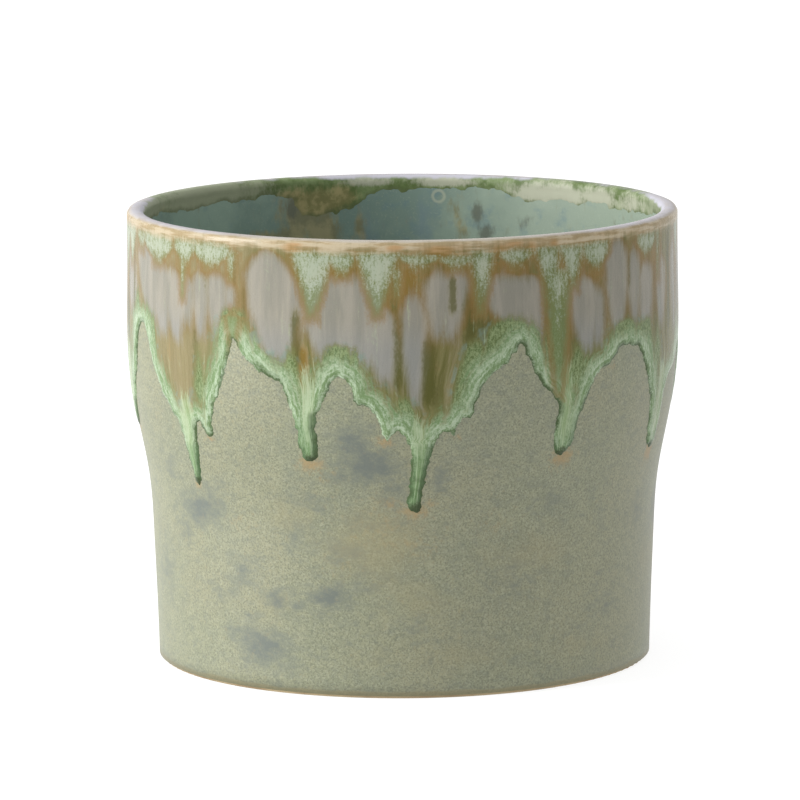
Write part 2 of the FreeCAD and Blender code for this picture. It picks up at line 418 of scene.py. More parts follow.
# Grey clouds, brown stains and blue patches in the liner, in the same form.
LINER_CLOUDS = [
    (-153.6, 121.5, 3.4, 4, 1), (-165, 123.4, 2.6, 2.2, 0.9), (162.3, 119, 2.2, 3.6, 0.9), (160, 113.6, 3.6, 3, 0.9),
    (150, 117, 3, 3, 0.5), (-120, 105, 9, 6, 0.7), (120, 112, 6, 8, 0.5), (100, 98, 8, 6, 0.6), (60, 110, 8, 7, 0.7),
    (20, 100, 10, 8, 0.8), (-20, 112, 8, 6, 0.8), (-60, 96, 9, 6, 0.7), (-90, 80, 9, 7, 0.6), (140, 70, 9, 6, 0.6),
    (0, 60, 10, 7, 0.5), (-150, 50, 8, 6, 0.5),
]
LINER_BROWN = [
    (-157, 120, 8, 6, 1.3), (-161.5, 113, 5, 7, 1.3), (-154, 113, 5, 5, 1.1), (-146, 112.6, 9, 2.4, 1.2),
    (-170, 114, 2, 5, 0.9),
    (168, 120, 1.4, 4, 0.7), (166, 114, 2, 4, 0.8), (10, 112, 8, 6, 0.8), (14, 104, 5, 6, 0.8), (80, 112, 6, 5, 0.7),
    (-70, 110, 6, 4, 0.6), (-110, 116, 5, 4, 0.5),
]
LINER_BLUE = [
    (175, 116, 4, 10, 0.9), (-172, 112, 5, 9, 0.8), (142, 108, 4, 5, 0.6), (-135, 112, 8, 5, 0.4),
    (40, 104, 8, 8, 0.8), (-30, 100, 8, 8, 0.7), (-85, 106, 7, 7, 0.7), (100, 110, 6, 6, 0.6),
]
stain(liner_glaze.data, {"cloud": LINER_CLOUDS, "brown": LINER_BROWN, "blue": LINER_BLUE})

# A bubble burst in the fire here and left a pale ring.
BUBBLE_TURN = math.radians(171.6)
BUBBLE = Vector((MOUTH_RADIUS * math.sin(BUBBLE_TURN), -MOUTH_RADIUS * math.cos(BUBBLE_TURN), 124.2)) * MM

teal, start = finish("liner_glaze")
place = start.node("ShaderNodeTexCoord", output=3)
cloud = start.kept("cloud")
pool = place.grain(34, 4, 0.6)
mottle = place.grain(150, 4, 0.6)
fine = place.grain(1500, 2)
colour = start.paint(100, 120, 112).under(122, 142, 130, pool.rise(0.38, 0.64))
# Painted light: a paler sage towards +X, where the lamp at the west falls on the inner wall.
colour = colour.under(138, 148, 132, (place.millimetres(0) + pool.swing(60)).rise(-30, 60) * 0.75)
colour = colour.under(88, 112, 120, mottle.rise(0.54, 0.7) * 0.4)
colour = colour.under(150, 160, 142, fine.rise(0.56, 0.74) * 0.2)
brown, blue = start.kept("brown"), start.kept("blue")
torn = place.stretched(420, 170).grain(1, 4, 0.6).swing(1.5)
colour = colour.under(98, 118, 126, (blue + torn).rise(0.2, 1.1) * 0.6)
burnt = start.paint(110, 106, 76).under(138, 130, 94, mottle.rise(0.4, 0.6))
colour = burnt.over(colour, (brown + torn).rise(0.1, 0.8) * 0.85)
colour = colour.under(84, 88, 78, (cloud + torn).rise(0.2, 0.8) * 0.8)
ring_gap = start.node("ShaderNodeVectorMath", {"operation": "DISTANCE"}, {0: place, 1: BUBBLE}, 1) * 1000
ring_gap = ring_gap + mottle.swing(0.8)
burst = ring_gap.rise(1.2, 1.8) * ring_gap.rise(2.6, 1.9)
colour = colour.under(154, 158, 138, burst * 0.6)
fired(start, colour, 0.2 + fine * 0.08, mottle, 0.05 * MM)
liner_glaze.data.materials.append(teal)
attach(liner_glaze, "root")
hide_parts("liner_glaze")

# ---------------------------------------------------------------------------------------------
# The run glaze is a thick glossy coat. The rim was dipped in it, and in the fire it ran: down the
# outside in runs that end in beads and long drips, and a little way down the inside. It lies on
# the other two coats, thin over the lip and thickest along its lower edge.

SEAM = 169  # degrees, an arch at the back where the sheet of glaze meets itself
ROUND = 78.0  # millimetres, the radius at which the sheet is laid out flat
# The lower edge outside as (degrees, height), each line one run from the arch before it to the next.
LOWER_EDGE = [
    (SEAM - 360, 99), (-189.5, 97), (-186.6, 91), (-184.2, 84), (-182, 78.5), (-181.2, 71), (-180.7, 61.5),
    (-179.6, 57.2), (-178.6, 56.8), (-177.6, 59.5), (-177.2, 66), (-176.2, 74.5), (-174, 81.5), (-171, 87.5),
    (-168, 92.5),
    (-164.5, 93.6), (-161, 91.5), (-158, 87.6), (-155.6, 80.4), (-154.1, 77.6), (-152.6, 73.8), (-151.4, 73.2),
    (-150, 76.5), (-148.8, 82), (-146.2, 90), (-143.2, 96.5), (-140, 98.6), (-137, 95.8), (-134.2, 90.3),
    (-131.8, 84.6), (-130.2, 79), (-129.6, 71), (-128.8, 64.6), (-127.4, 62.1), (-126.1, 64.5), (-125.4, 71),
    (-124, 78.5), (-121, 85.6), (-117.5, 91.6), (-114, 94.8), (-111, 95.6), (-108, 92.3), (-105.4, 87.6),
    (-103.4, 80), (-101.9, 73.2), (-100.4, 70.4), (-98.9, 72.4), (-97.6, 79), (-95, 86), (-92, 89.6), (-89.4, 90),
    (-87.2, 87), (-85.5, 82), (-84.2, 75.5), (-82.9, 70.2), (-81.5, 68.6), (-80.2, 70.6), (-79, 76), (-77, 81),
    (-75, 85.4), (-73.2, 91.5), (-71.5, 98), (-70, 100.5), (-68.5, 101), (-67.3, 100), (-65.5, 96), (-64, 90.5),
    (-61.5, 85.8), (-59.5, 81.8), (-57, 78.4), (-55, 75.2), (-53.7, 70), (-52.9, 64), (-52.3, 59.2), (-51.2, 57.2),
    (-50.1, 58.6), (-49.5, 63), (-48.8, 69), (-48.2, 74.8), (-47.4, 76.4), (-46.4, 74.6), (-45.2, 72.2),
    (-43.8, 72.8), (-43.6, 76), (-43.1, 79.5), (-42, 82.6), (-40.3, 87.4), (-38.8, 92), (-37.6, 98), (-36.8, 101.5),
    (-35.6, 99.2), (-33.6, 95.9), (-30.6, 92.9), (-27.6, 91.1), (-25.5, 89.7), (-24.3, 85), (-23, 80), (-22.3, 75),
    (-21.8, 71), (-20.8, 68), (-19.6, 67.6), (-18.4, 69.6), (-17.8, 73.6), (-18.2, 77.6), (-17.9, 81), (-16.6, 84.4),
    (-15.6, 88.2), (-14.4, 91), (-12.5, 92.6), (-11.3, 91), (-10.3, 87.5), (-9.4, 84.5), (-8, 84.7), (-6.6, 83.2),
    (-5.2, 80.2), (-4.5, 76.8), (-3.7, 74.4), (-2.6, 75.2), (-1.4, 77), (-0.2, 76), (0.9, 73.6), (1.5, 70), (1.3, 65),
    (1.2, 60), (0.8, 56.2), (1.8, 54), (2.9, 53.7), (3.8, 55.8), (4.1, 59.4), (4.9, 64), (5.6, 69), (6.6, 73.8),
    (8.2, 76.8), (9.6, 76.8), (10.6, 75.2), (11.1, 78.6), (12.2, 80.8), (14, 81.2), (15.2, 85.6), (16.4, 90),
    (19, 93.1),
    (21.4, 95.6), (23.2, 98.8), (24.5, 100.6), (25.7, 97.8), (27.2, 94), (29, 89.4), (31.4, 86), (33.3, 83.8),
    (33.6, 80), (32.9, 76), (33.1, 71.6), (33.9, 68.4), (35.2, 67.6), (36.9, 69.4), (38.1, 71.6), (38.7, 76.6),
    (39.6, 80.2), (41, 83.4), (42.8, 88.2), (45, 91.4), (47.6, 92.4), (49.1, 94.4), (51, 96.4), (54, 96.5),
    (57, 95.4), (59, 91.8), (61.4, 86.4), (63.4, 80), (64.2, 73), (65.1, 67.4), (66.6, 64.8), (68.2, 64),
    (69.7, 66), (70.8, 73), (71.4, 79.4), (73.6, 83.8), (77, 85.6), (80, 88.6), (83, 91.2), (86, 88.2), (88.4, 82.6),
    (90.4, 75.6), (91.8, 71.6), (93.2, 71.4), (94.6, 75), (96, 82), (98.6, 88.6), (101.2, 94.4), (104, 97.1),
    (106.8, 94.6), (109.4, 90.2), (112, 83), (114, 76), (114.7, 67), (115.6, 60.8), (116.9, 59.2), (118, 61.4),
    (118.8, 68), (119.8, 76.6), (122, 83), (125, 90.2), (128.2, 94.8), (131, 95.7), (134, 92.2), (136.4, 87),
    (138.2, 80), (139.4, 73.8), (140.8, 72.2), (142.2, 74.4), (143.6, 79.4), (146, 84.3), (148.6, 82.6), (150.6, 77),
    (151.8, 69), (153.2, 64.8), (154.7, 65.2), (155.8, 70), (157, 78.4), (159.6, 86.6), (162.6, 93), (165.6, 97.6),
    (SEAM, 99),
]
# The edge inside the mouth as (degrees, depth below the lip).
INNER_EDGE = [
    (SEAM - 360, 4), (-187, 3.6), (-182, 4.6), (-177, 4.4), (-173, 5), (-169, 8.6), (-165, 10.8), (-160, 11.4),
    (-156, 10.2), (-153, 6), (-148, 4.6), (-140, 5.4), (-131, 5), (-120, 6), (-110, 4.6), (-98, 5.6), (-86, 4.4),
    (-74, 6.6), (-62, 5), (-50, 4.4), (-40, 6), (-30, 7.6), (-20, 5.2), (-8, 4.4), (4, 5.6), (16, 4.6), (28, 6.8),
    (38, 5), (50, 4.2), (62, 5.4), (74, 7.2), (86, 5), (98, 4.2), (110, 5.4), (122, 6.4), (130, 5), (136, 6.4),
    (142, 5.8), (148, 6.8), (154, 5), (160, 3.8), (SEAM, 4),
]

# The line the sheet is rolled onto: up the outside, over the lip and down the inside.
roll = np.vstack([outside_line, inside_line[::-1]])
roll = roll[np.concatenate([[True], np.hypot(*np.diff(roll, axis=0).T) > 1e-4])]
run = np.concatenate([[0], np.cumsum(np.hypot(*np.diff(roll, axis=0).T))])
crown_at = run[np.argmax(roll[:, 1] - np.abs(roll[:, 0] - CROWN) * 1e-3)]
leaning = np.gradient(roll, run, axis=0)
facing = np.stack([leaning[:, 1], -leaning[:, 0]]) / np.hypot(*leaning.T)
lip_height = roll[:, 1].max()
rising = run <= crown_at
falling = (run >= crown_at) & (roll[:, 0] > 60)


def up_outside(height):
    """How far along the rolled line a height on the outside is."""
    return np.interp(height, roll[rising, 1], run[rising])


def down_inside(depth):
    """How far along the rolled line a depth below the lip on the inside is."""
    return np.interp(depth, lip_height - roll[falling, 1], run[falling])


def eased(points, spacing):
    """Even points along a smooth line through the given ones."""
    points = np.array(points, dtype=float)
    points = np.vstack([2 * points[0] - points[1], points, 2 * points[-1] - points[-2]])
    fine = []
    for before, start_at, end_at, after in zip(points, points[1:], points[2:], points[3:]):
        gaps = [np.linalg.norm(step) ** 0.5 for step in (start_at - before, end_at - start_at, after - end_at)]
        slopes = [(start_at - before) / gaps[0], (end_at - start_at) / gaps[1], (after - end_at) / gaps[2]]
        leave = gaps[1] * (slopes[0] * gaps[1] + slopes[1] * gaps[0]) / (gaps[0] + gaps[1])
        arrive = gaps[1] * (slopes[1] * gaps[2] + slopes[2] * gaps[1]) / (gaps[1] + gaps[2])
        t = np.linspace(0, 1, 16, endpoint=False)[:, None]
        fine.append(
            (2 * t**3 - 3 * t**2 + 1) * start_at + (t**3 - 2 * t**2 + t) * leave
            + (3 * t**2 - 2 * t**3) * end_at + (t**3 - t**2) * arrive
        )
    fine = np.vstack(fine + [points[-2:-1]])
    length = np.concatenate([[0], np.cumsum(np.hypot(*np.diff(fine, axis=0).T))])
    marks = np.linspace(0, length[-1], round(length[-1] / spacing) + 1)
    return np.stack([np.interp(marks, length, fine[:, axis]) for axis in (0, 1)], axis=1)


def ragged(line, size, amount, seed):
    """Nudges a line's points up and down by smooth noise that is the same at both ends."""
    nudges = []
    for across, along in line:
        turn = across / ROUND
        place = Vector((ROUND * math.sin(turn), ROUND * math.cos(turn), along + seed)) / size
        nudges.append((noise.noise(place + Vector((9, 0, 0))), noise.noise(place)))
    fade = np.clip(np.abs(line[:, :1] - line[0, 0]) / 2, 0, 1) * np.clip(np.abs(line[:, :1] - line[-1, 0]) / 2, 0, 1)
    return line + amount * np.array(nudges) * fade


def laid_flat(turn, along):
    """A place on the flat sheet."""
    return np.radians(turn) * ROUND, along


FINE, MIDDLE, COARSE, UNDERNEATH = 0.45, 0.55, 1.0, 2.6  # millimetres between points
DENSE = 4.0  # millimetres from an edge that hold the closer points
lower = eased([laid_flat(turn, up_outside(height)) for turn, height in LOWER_EDGE], FINE)
lower = ragged(ragged(lower, 2.2, 0.6, 3), 0.8, 0.42, 70)
inner = eased([laid_flat(turn, down_inside(depth)) for turn, depth in INNER_EDGE], FINE)
inner = ragged(ragged(inner, 3.0, 1.1, 20), 0.9, 0.4, 40)
west, east_side = lower[0, 0], lower[-1, 0]

whole_turn = math.tau * ROUND


def tree_of(places):
    """A tree that finds the nearest of some places on the sheet."""
    tree = kdtree.KDTree(len(places))
    for index, (across, along) in enumerate(places):
        tree.insert((across, along, 0), index)
    tree.balance()
    return tree


def edge_finder(line):
    """A tree of an edge's points, with the sheet's two ends wrapped round."""
    repeated = np.vstack([line + (shift, 0) for shift in (-whole_turn, 0, whole_turn)])
    near = repeated[(repeated[:, 0] > west - 30) & (repeated[:, 0] < east_side + 30)]
    return tree_of(near)


lower_tree, inner_tree = edge_finder(lower), edge_finder(inner)


def distances(tree, places):
    """How far each place on the sheet is from the nearest point of an edge."""
    return np.array([tree.find((across, along, 0))[2] for across, along in places])


def off_the_ends(places, margin):
    """Which places keep this margin from the sheet's two ends."""
    return (places[:, 0] > west + margin) & (places[:, 0] < east_side - margin)


def lattice(spacing):
    """Staggered points all over the sheet's rectangle, alike at its two ends."""
    columns = round((east_side - west) / spacing)
    spacing = (east_side - west) / columns
    rows = int((inner[:, 1].max() - lower[:, 1].min()) / (spacing * 0.866)) + 2
    points = []
    for row in range(rows):
        shift = 0.5 * (row % 2)
        across = west + (np.arange(columns) + shift) * spacing
        along = np.full(columns, lower[:, 1].min() + row * spacing * 0.866)
        points.append(np.stack([across, along], axis=1))
    return np.vstack(points)


def inside_sheet(places, least_gap):
    """Keeps the places that lie between the two edges and at least a gap from them."""
    keepers = []
    polygon_x = np.concatenate([lower[:, 0], inner[::-1, 0]])
    polygon_y = np.concatenate([lower[:, 1], inner[::-1, 1]])
    low_band = (lower[:, 1].min(), lower[:, 1].max() + 0.5)
    high_band = (inner[:, 1].min() - 0.5, inner[:, 1].max())
    for across, along in places:
        if low_band[1] < along < high_band[0]:
            keepers.append(True)
        elif along <= low_band[0] or along >= high_band[1]:
            keepers.append(False)
        else:
            above = (polygon_y > along) != (np.roll(polygon_y, 1) > along)
            x0, y0 = polygon_x[above], polygon_y[above]
            x1, y1 = np.roll(polygon_x, 1)[above], np.roll(polygon_y, 1)[above]
            crossing = x0 + (along - y0) * (x1 - x0) / (y1 - y0)
            keepers.append(bool(np.count_nonzero(crossing > across) % 2))
    places = places[np.array(keepers)]
    gap = np.minimum(distances(lower_tree, places), distances(inner_tree, places))
    clear = (gap > least_gap) & off_the_ends(places, 0.25)
    return places[clear], gap[clear]


def beside(line, gap, up):
    """A line of points a gap away from an edge, on the sheet's side, where there is room for them."""
    ahead = np.gradient(line, axis=0)
    sideways = np.stack([-ahead[:, 1], ahead[:, 0]], axis=1) / np.hypot(*ahead.T)[:, None]
    places = line + sideways * gap * up
    nearest = np.minimum(distances(lower_tree, places), distances(inner_tree, places))
    return places[(nearest > gap * 0.93) & off_the_ends(places, 0.2)]


def cut_sheet(extra):
    """Triangles that fill the sheet from edge to edge through the extra points."""
    end_steps = np.linspace(lower[0, 1], inner[0, 1], round((inner[0, 1] - lower[0, 1]) / 1.0) + 1)[1:-1]
    right = np.stack([np.full(len(end_steps), east_side), end_steps], axis=1)
    left = np.stack([np.full(len(end_steps), west), end_steps[::-1]], axis=1)
    border = np.vstack([lower, right, inner[::-1], left])
    points = np.vstack([border, extra])
    count = len(border)
    edges = [(index, (index + 1) % count) for index in range(count)]
    made = geometry.delaunay_2d_cdt([Vector(point) for point in points], edges, [list(range(count))], 1, 1e-5)
    return np.array(made[0]), [list(face) for face in made[2]]


near, gap = inside_sheet(lattice(MIDDLE), 0.72)
near = near[gap < DENSE]
far, _ = inside_sheet(lattice(COARSE), DENSE)
rings = np.vstack([beside(line, gap, up) for line, up in ((lower, 1), (inner, -1)) for gap in (0.1, 0.28, 0.52)])
top_flat, top_faces = cut_sheet(np.vstack([rings, near, far]))
below, _ = inside_sheet(lattice(UNDERNEATH), 1.2)
under_flat, under_faces = cut_sheet(below)

# Runs gather in basins, one for each run between two arches. In a basin, a streak starts at the lip
# and keeps its share of the width as the basin narrows to its tip.
tops = [
    index
    for index in range(1, len(LOWER_EDGE) - 1)
    if LOWER_EDGE[index][1] >= max(height for turn, height in LOWER_EDGE[max(0, index - 4):index + 5])
    and LOWER_EDGE[index][1] > 84
]
arches = [0] + tops + [len(LOWER_EDGE) - 1]
basins = []
for first, last in zip(arches, arches[1:]):
    banks = LOWER_EDGE[first:last + 1]
    tip = min(range(len(banks)), key=lambda index: banks[index][1])
    sides = []
    for bank in (banks[:tip + 1], banks[tip:][::-1]):
        steps = [bank[0]]
        for turn, height in bank[1:]:
            if height < steps[-1][1] - 0.2:
                steps.append((turn, height))
        sides.append(np.array(steps[::-1]))
    basins.append((banks[0][0], banks[-1][0], banks[tip], sides[0], sides[1]))


FUNNEL_TOP, FUNNEL_DEPTH = 112, 14  # millimetres, where straight streaks start to follow the banks


def stream(turn, height):
    """Where each place's streak started, its share across the basin and the basin's width there."""
    begun, share, width = np.array(turn), np.full(len(turn), 0.5), np.full(len(turn), 30.0)
    for west_turn, east_turn, tip, west_bank, east_bank in basins:
        here = (turn >= west_turn) & (turn <= east_turn)
        low = np.interp(height[here], west_bank[:, 1], west_bank[:, 0])
        high = np.interp(height[here], east_bank[:, 1], east_bank[:, 0])
        blend = np.clip((FUNNEL_TOP - height[here]) / FUNNEL_DEPTH, 0, 1)
        blend = blend * blend * (3 - 2 * blend)
        low = west_turn + (low - west_turn) * blend
        high = east_turn + (high - east_turn) * blend
        part = np.clip((turn[here] - low) / np.maximum(high - low, 0.6), 0, 1)
        begun[here] = west_turn + part * (east_turn - west_turn)
        share[here] = part
        width[here] = np.radians(high - low) * ROUND
    return (begun + 2 * turn) / 3, share, width


# Pale lavender pools as (degrees, half width in degrees, top, bottom, lean in degrees).
POOLS = [
    (-67, 5.2, 126, 102, 4), (-60.5, 4.8, 121.5, 100, 2.5), (-54.6, 4.2, 119, 99, 1.5), (-50, 2.8, 118, 103, 0.5),
    (-45.6, 2.8, 119.5, 101, 0.3), (-41, 3.4, 120, 101, 0.5), (-37.6, 1.8, 117.5, 101, 0.3),
    (-28.6, 5.6, 127, 95, 2.6),
    (-24.4, 4, 121.5, 99, 0.8), (-15, 6.4, 121, 96, 1), (-9.6, 5.2, 121.5, 95, 1.5), (-5, 3.8, 113, 91, 1.6),
    (2, 2.9, 116, 85, 0.4), (7.4, 2.9, 122.5, 103, -0.6), (11.2, 3.1, 123, 103, -2), (20.5, 5.4, 121, 103, 4),
    (25.4, 4.8, 120.5, 98, 1.4), (39.2, 4.2, 118.5, 96, 1.2), (43.3, 2.4, 115, 98, 0), (49.2, 3.8, 128, 100, 0.3),
    (55, 2.6, 124, 100, 0.3), (60, 3.2, 120, 97, -0.5), (67, 2.9, 120, 100, 0),
    (76, 2.2, 123, 98, 0.3),
]
# Mint glaze that runs down from the lip, in long tongues and in shallow scallops, in the same form.
MINT = [
    (-76, 4, 129, 118, 0), (-51, 0.8, 122, 112, 0), (-37, 1.2, 126, 119, 0), (-18.4, 4.6, 128, 110, -0.2),
    (-5, 4.4, 128, 111, 0), (-1.4, 0.8, 123, 115.5, 0), (16.3, 2.6, 128, 111, -0.6), (30.4, 2.8, 128, 111, 1.6),
    (36.4, 3.2, 128, 116, 0.5), (65.6, 1, 128, 115, 0), (32.8, 3.4, 121, 86, 0.4), (-36.6, 1.6, 108, 99, 0),
]
SCALLOPS = [
    (-61, 6, 128.6, 120.6, 0.5), (-50.5, 3.4, 128.6, 121.6, 0), (-42.6, 5.2, 128.4, 121.6, 0),
    (-12.2, 2.6, 128, 121.4, 0), (3.4, 3.8, 127, 123.8, 0), (10.8, 3.4, 126.6, 123.4, 0),
    (23.5, 3.6, 127.6, 123.4, 0), (43, 3.6, 128, 120.6, 0), (60.5, 3.8, 128, 121.8, 0), (-69, 2.4, 128, 123.4, 0),
]
# Dark olive and rust streaks as (degrees, half width in degrees, top, bottom, strength).
OLIVE = [
    (-74, 0.7, 125, 99, 1), (-36.2, 0.5, 124, 116, 0.8), (-44, 0.35, 125, 112, 0.6), (-33.8, 0.8, 117, 103, 0.7),
    (-22, 1.2, 111, 94, 0.9), (-47, 1.6, 104, 88, 0.5), (-58, 2.4, 100, 84, 0.3), (-1, 1.2, 112, 88, 0.8),
    (5.2, 1.6, 104, 84, 1), (10, 0.9, 121, 110, 1), (13.6, 1.8, 116, 96, 0.9), (17, 3, 110, 92, 0.7),
    (30.6, 1.2, 118, 104, 0.9), (33.6, 1.8, 112, 90, 0.7), (53.3, 0.6, 123, 113, 0.7), (64, 1.6, 118, 96, 0.6),
    (72, 1, 126, 98, 1), (45, 0.5, 114, 105, 0.5), (-80.5, 1.8, 128, 90, 1), (79.5, 2.4, 128, 90, 1),
]
ORANGE = [
    (-60, 2.8, 120, 112, 0.55), (-48.5, 2.8, 121, 113, 0.55), (-55, 2.6, 110, 90, 0.45), (-35, 1.6, 119, 100, 0.5),
    (-21, 1.6, 120, 108, 0.8), (-20.4, 1.5, 101, 88, 1), (-14.4, 4.2, 124, 118.5, 0.8), (-3, 2.4, 126, 110, 0.7),
    (1.4, 2.6, 125, 108, 1), (4.2, 1.2, 118, 100, 0.8), (6, 1.6, 112, 92, 0.5), (19, 5, 125, 119.5, 0.8),
    (14.2, 1.2, 122, 108, 0.6), (28.4, 1.4, 118, 104, 0.8), (34.6, 1.5, 125, 106, 0.7), (42.5, 3, 120.5, 115.5, 0.8),
    (58, 3.4, 126, 119, 0.6), (64.5, 2.8, 124, 108, 0.8), (-68.6, 1.2, 128, 118, 0.6), (-22.5, 2.6, 129.5, 127, 0.9),
    (-1.5, 2.4, 129.5, 127.4, 0.8), (7.4, 4.6, 129.4, 125, 1), (20, 2.6, 129.4, 125, 0.9),
    (26.6, 2, 129.4, 124.6, 0.9), (23, 3, 129.5, 127.4, 0.9), (32, 1.4, 129.5, 127.2, 0.9),
    (12, 2, 129.5, 127.6, 0.6),
]
# Leaf green between the pools, in the same form.
LEAF = [
    (-46.5, 2.2, 101, 84, 0.8), (-36.6, 2.8, 110, 99, 0.9), (-23, 1.5, 110, 90, 0.8), (-12.4, 4, 102, 93, 0.8),
    (13.6, 3.6, 105, 84, 1), (19.6, 5, 108, 92, 1), (23.6, 4, 105, 98, 0.8), (32.6, 2.4, 117, 88, 1),
    (37.4, 3, 102, 88, 0.9), (66, 2.4, 112, 90, 0.9), (-63.4, 2, 105, 90, 0.6), (-72, 1.3, 112, 98, 0.8),
    (51.4, 3.4, 104, 96, 0.8), (60, 3, 104, 92, 0.8), (-30, 3, 98, 91, 0.7), (0.5, 2.2, 88, 76, 0.7),
]
# The same pattern carries on round the back, a little different in each basin.
luck = random.Random(11)
draw = luck.uniform
turn = 80.0
while turn < 280:
    wide = draw(6.5, 11)
    middle = turn + wide / 2
    fall = draw(100, 106)
    POOLS.append((middle, wide * draw(0.38, 0.48), draw(117, 126), fall, draw(-1, 2.4)))
    if luck.random() < 0.45:
        POOLS.append((middle + wide * 0.3, wide * 0.25, fall + 12, fall - draw(2, 7), draw(-1, 1)))
    MINT.append((turn, draw(2.2, 5.0), 128, draw(111, 123), draw(-0.6, 0.6)))
    if luck.random() < 0.5:
        SCALLOPS.append((middle, draw(2.4, 4.6), 128.5, draw(120, 124), 0))
    OLIVE.append((turn + draw(-0.8, 0.8), draw(0.6, 1.8), draw(110, 120), draw(90, 102), draw(0.5, 1)))
    ORANGE.append((turn + draw(-1.6, 1.6), draw(1.2, 2.4), draw(116, 124), draw(94, 110), draw(0.5, 1)))
    ORANGE.append((middle, wide * 0.35, 128, draw(118, 122), draw(0.4, 0.9)))
    ORANGE.append((turn + draw(0, 6), draw(1.4, 3), 129.5, 127.3, draw(0.5, 0.9)))
    LEAF.append((turn + draw(-1.5, 1.5), draw(1.4, 4), draw(102, 114), draw(86, 94), draw(0.6, 1)))
    turn += wide


REACH = 8.0  # millimetres in or out of a shape, the most that is told apart


def depth_in(shapes, turn, height, arch, taper, shoulder):
    """Millimetres inside the nearest of some round-topped, tapering shapes, and minus that outside."""
    best = np.full(len(turn), -REACH)
    for centre, half, top, bottom, lean in shapes:
        off = apart(turn, centre)
        near = np.abs(off) < half + REACH
        up = np.clip((height[near] - bottom) / (top - bottom), 0, 1)
        squeeze = taper + (1 - taper) * np.minimum(1, up / shoulder) ** 0.9
        wide = half * np.minimum(1, np.sqrt(np.maximum(1 - up, 0) / arch)) * squeeze
        sideways = np.radians(wide - np.abs(off[near] - lean * (1 - up))) * ROUND
        upright = np.minimum(top - height[near], height[near] - bottom)
        depth = np.minimum(sideways, upright * 0.7)
        best[near] = np.maximum(best[near], depth)
    return np.clip(best, -REACH, REACH)


def streaks(shapes, turn, height):
    """How strongly each place lies in one of some upright soft-edged streaks."""
    most = np.zeros(len(turn))
    for centre, half, top, bottom, strength in shapes:
        across = apart(turn, centre) / half
        fade = (top - bottom) * 0.3
        upright = np.clip((top - height) / fade + 0.5, 0, 1) * np.clip((height - bottom) / fade + 0.5, 0, 1)
        most = np.maximum(most, strength * np.exp(-(across**2)) * upright)
    return most


def on_pot(flat, lift):
    """Rolls places on the flat sheet onto the pot, each lifted off the coats under it."""
    radius = np.interp(flat[:, 1], run, roll[:, 0]) + np.interp(flat[:, 1], run, facing[0]) * lift
    height = np.interp(flat[:, 1], run, roll[:, 1]) + np.interp(flat[:, 1], run, facing[1]) * lift
    turn = flat[:, 0] / ROUND
    return np.stack([radius * np.sin(turn), -radius * np.cos(turn), height], axis=1) * MM


# Patches inside the mouth as (degrees, depth, half width, half depth, strength): grey sage, milky cream and brown.
BRIM_GREY = [
    (-128, 3, 26, 6, 1), (-95, 3, 30, 6, 1), (-55, 3, 26, 6, 0.9), (20, 3, 30, 6, 0.9), (60, 3, 20, 6, 0.9),
    (-145, 3, 9, 5, 0.6), (100, 2, 20, 6, 0.6),
]
BRIM_MILK = [
    (143, 4, 18, 4, 1), (128, 3.5, 10, 4, 0.9), (115, 3.5, 12, 4, 0.7), (170, 1.6, 12, 1.6, 0.9),
    (-172, 1.6, 9, 1.5, 0.8), (40, 3.5, 12, 3.5, 0.8), (-20, 3, 14, 3, 0.8), (-75, 3, 10, 3, 0.7),
    (-40, 2, 9, 2, 0.6),
]
BRIM_BROWN = [
    (-160, 7.5, 10, 5, 1), (-154, 6, 7, 4, 0.8), (-166, 6, 5, 4, 0.9), (0, 4, 9, 4, 0.7), (80, 4, 8, 4, 0.7),
    (-110, 5, 6, 3, 0.4),
]

# How pale the crown of the lip is, as (degrees, strength): over the back it thins to the green beneath.
VEIL = [
    (SEAM - 360, 0.9), (-165, 0.9), (-155, 0.4), (-137, 0.1), (-112, 0.1), (-101, 0.7), (-93, 1), (97, 1),
    (108, 0.7), (118, 0.3), (140, 0.3), (150, 0.6), (160, 0.9), (SEAM, 0.9),
]

edge_gap = distances(lower_tree, top_flat)
# How steeply the lower edge slants beside each place: 1 on a diagonal, 0 where it is level or upright.
ahead = np.gradient(lower, axis=0)
lean = np.abs(np.sin(2 * np.arctan2(ahead[:, 1], ahead[:, 0])))
lean = np.convolve(lean, np.hanning(15) / np.hanning(15).sum(), mode="same")
beside_edge = tree_of(lower)
slants = np.array([lean[beside_edge.find((across, along, 0))[1]] for across, along in top_flat])
inner_gap = distances(inner_tree, top_flat)
turns = np.degrees(top_flat[:, 0] / ROUND)
heights = np.interp(top_flat[:, 1], run, roll[:, 1])
heights = np.where(top_flat[:, 1] > crown_at, 2 * lip_height - heights, heights)
begun, share, width = stream(turns, heights)

# The coat is thin over the lip, fuller further down, and swells into a bead along its lower edge.
SUNK = 0.03  # millimetres that its edges lie in the coat under it
body = 0.28 + 0.17 * np.clip((122 - heights) / 26, 0, 1)
narrow = np.clip((9 - width) / 6, 0, 1) * np.clip((96 - heights) / 8, 0, 1)
body = body + 0.1 * narrow + 0.22 * np.exp(-(((top_flat[:, 1] - crown_at) / 2.5) ** 2))
bead_width = 1.9 + 0.3 * narrow
rim = np.minimum(edge_gap, inner_gap)
swell = 1 - (1 - np.minimum(rim / bead_width, 1)) ** 2
low_down = np.clip((118 - heights) / 14, 0, 1)
bead = 0.07 * low_down * np.exp(-(((edge_gap - 1.6) / 1.3) ** 2))
ripple = np.array([
    noise.noise(Vector((math.sin(turn) * 40, math.cos(turn) * 40, height * 0.035)))
    for turn, height in zip(np.radians(begun).tolist(), heights)
])
inward = np.clip((top_flat[:, 1] - crown_at - 1.5) / 3, 0, 1)
lift = swell * (body + bead + 0.06 * ripple * low_down) * (1 - 0.6 * inward) - SUNK
top_places = on_pot(top_flat, lift)
under_places = on_pot(under_flat, np.full(len(under_flat), -SUNK))
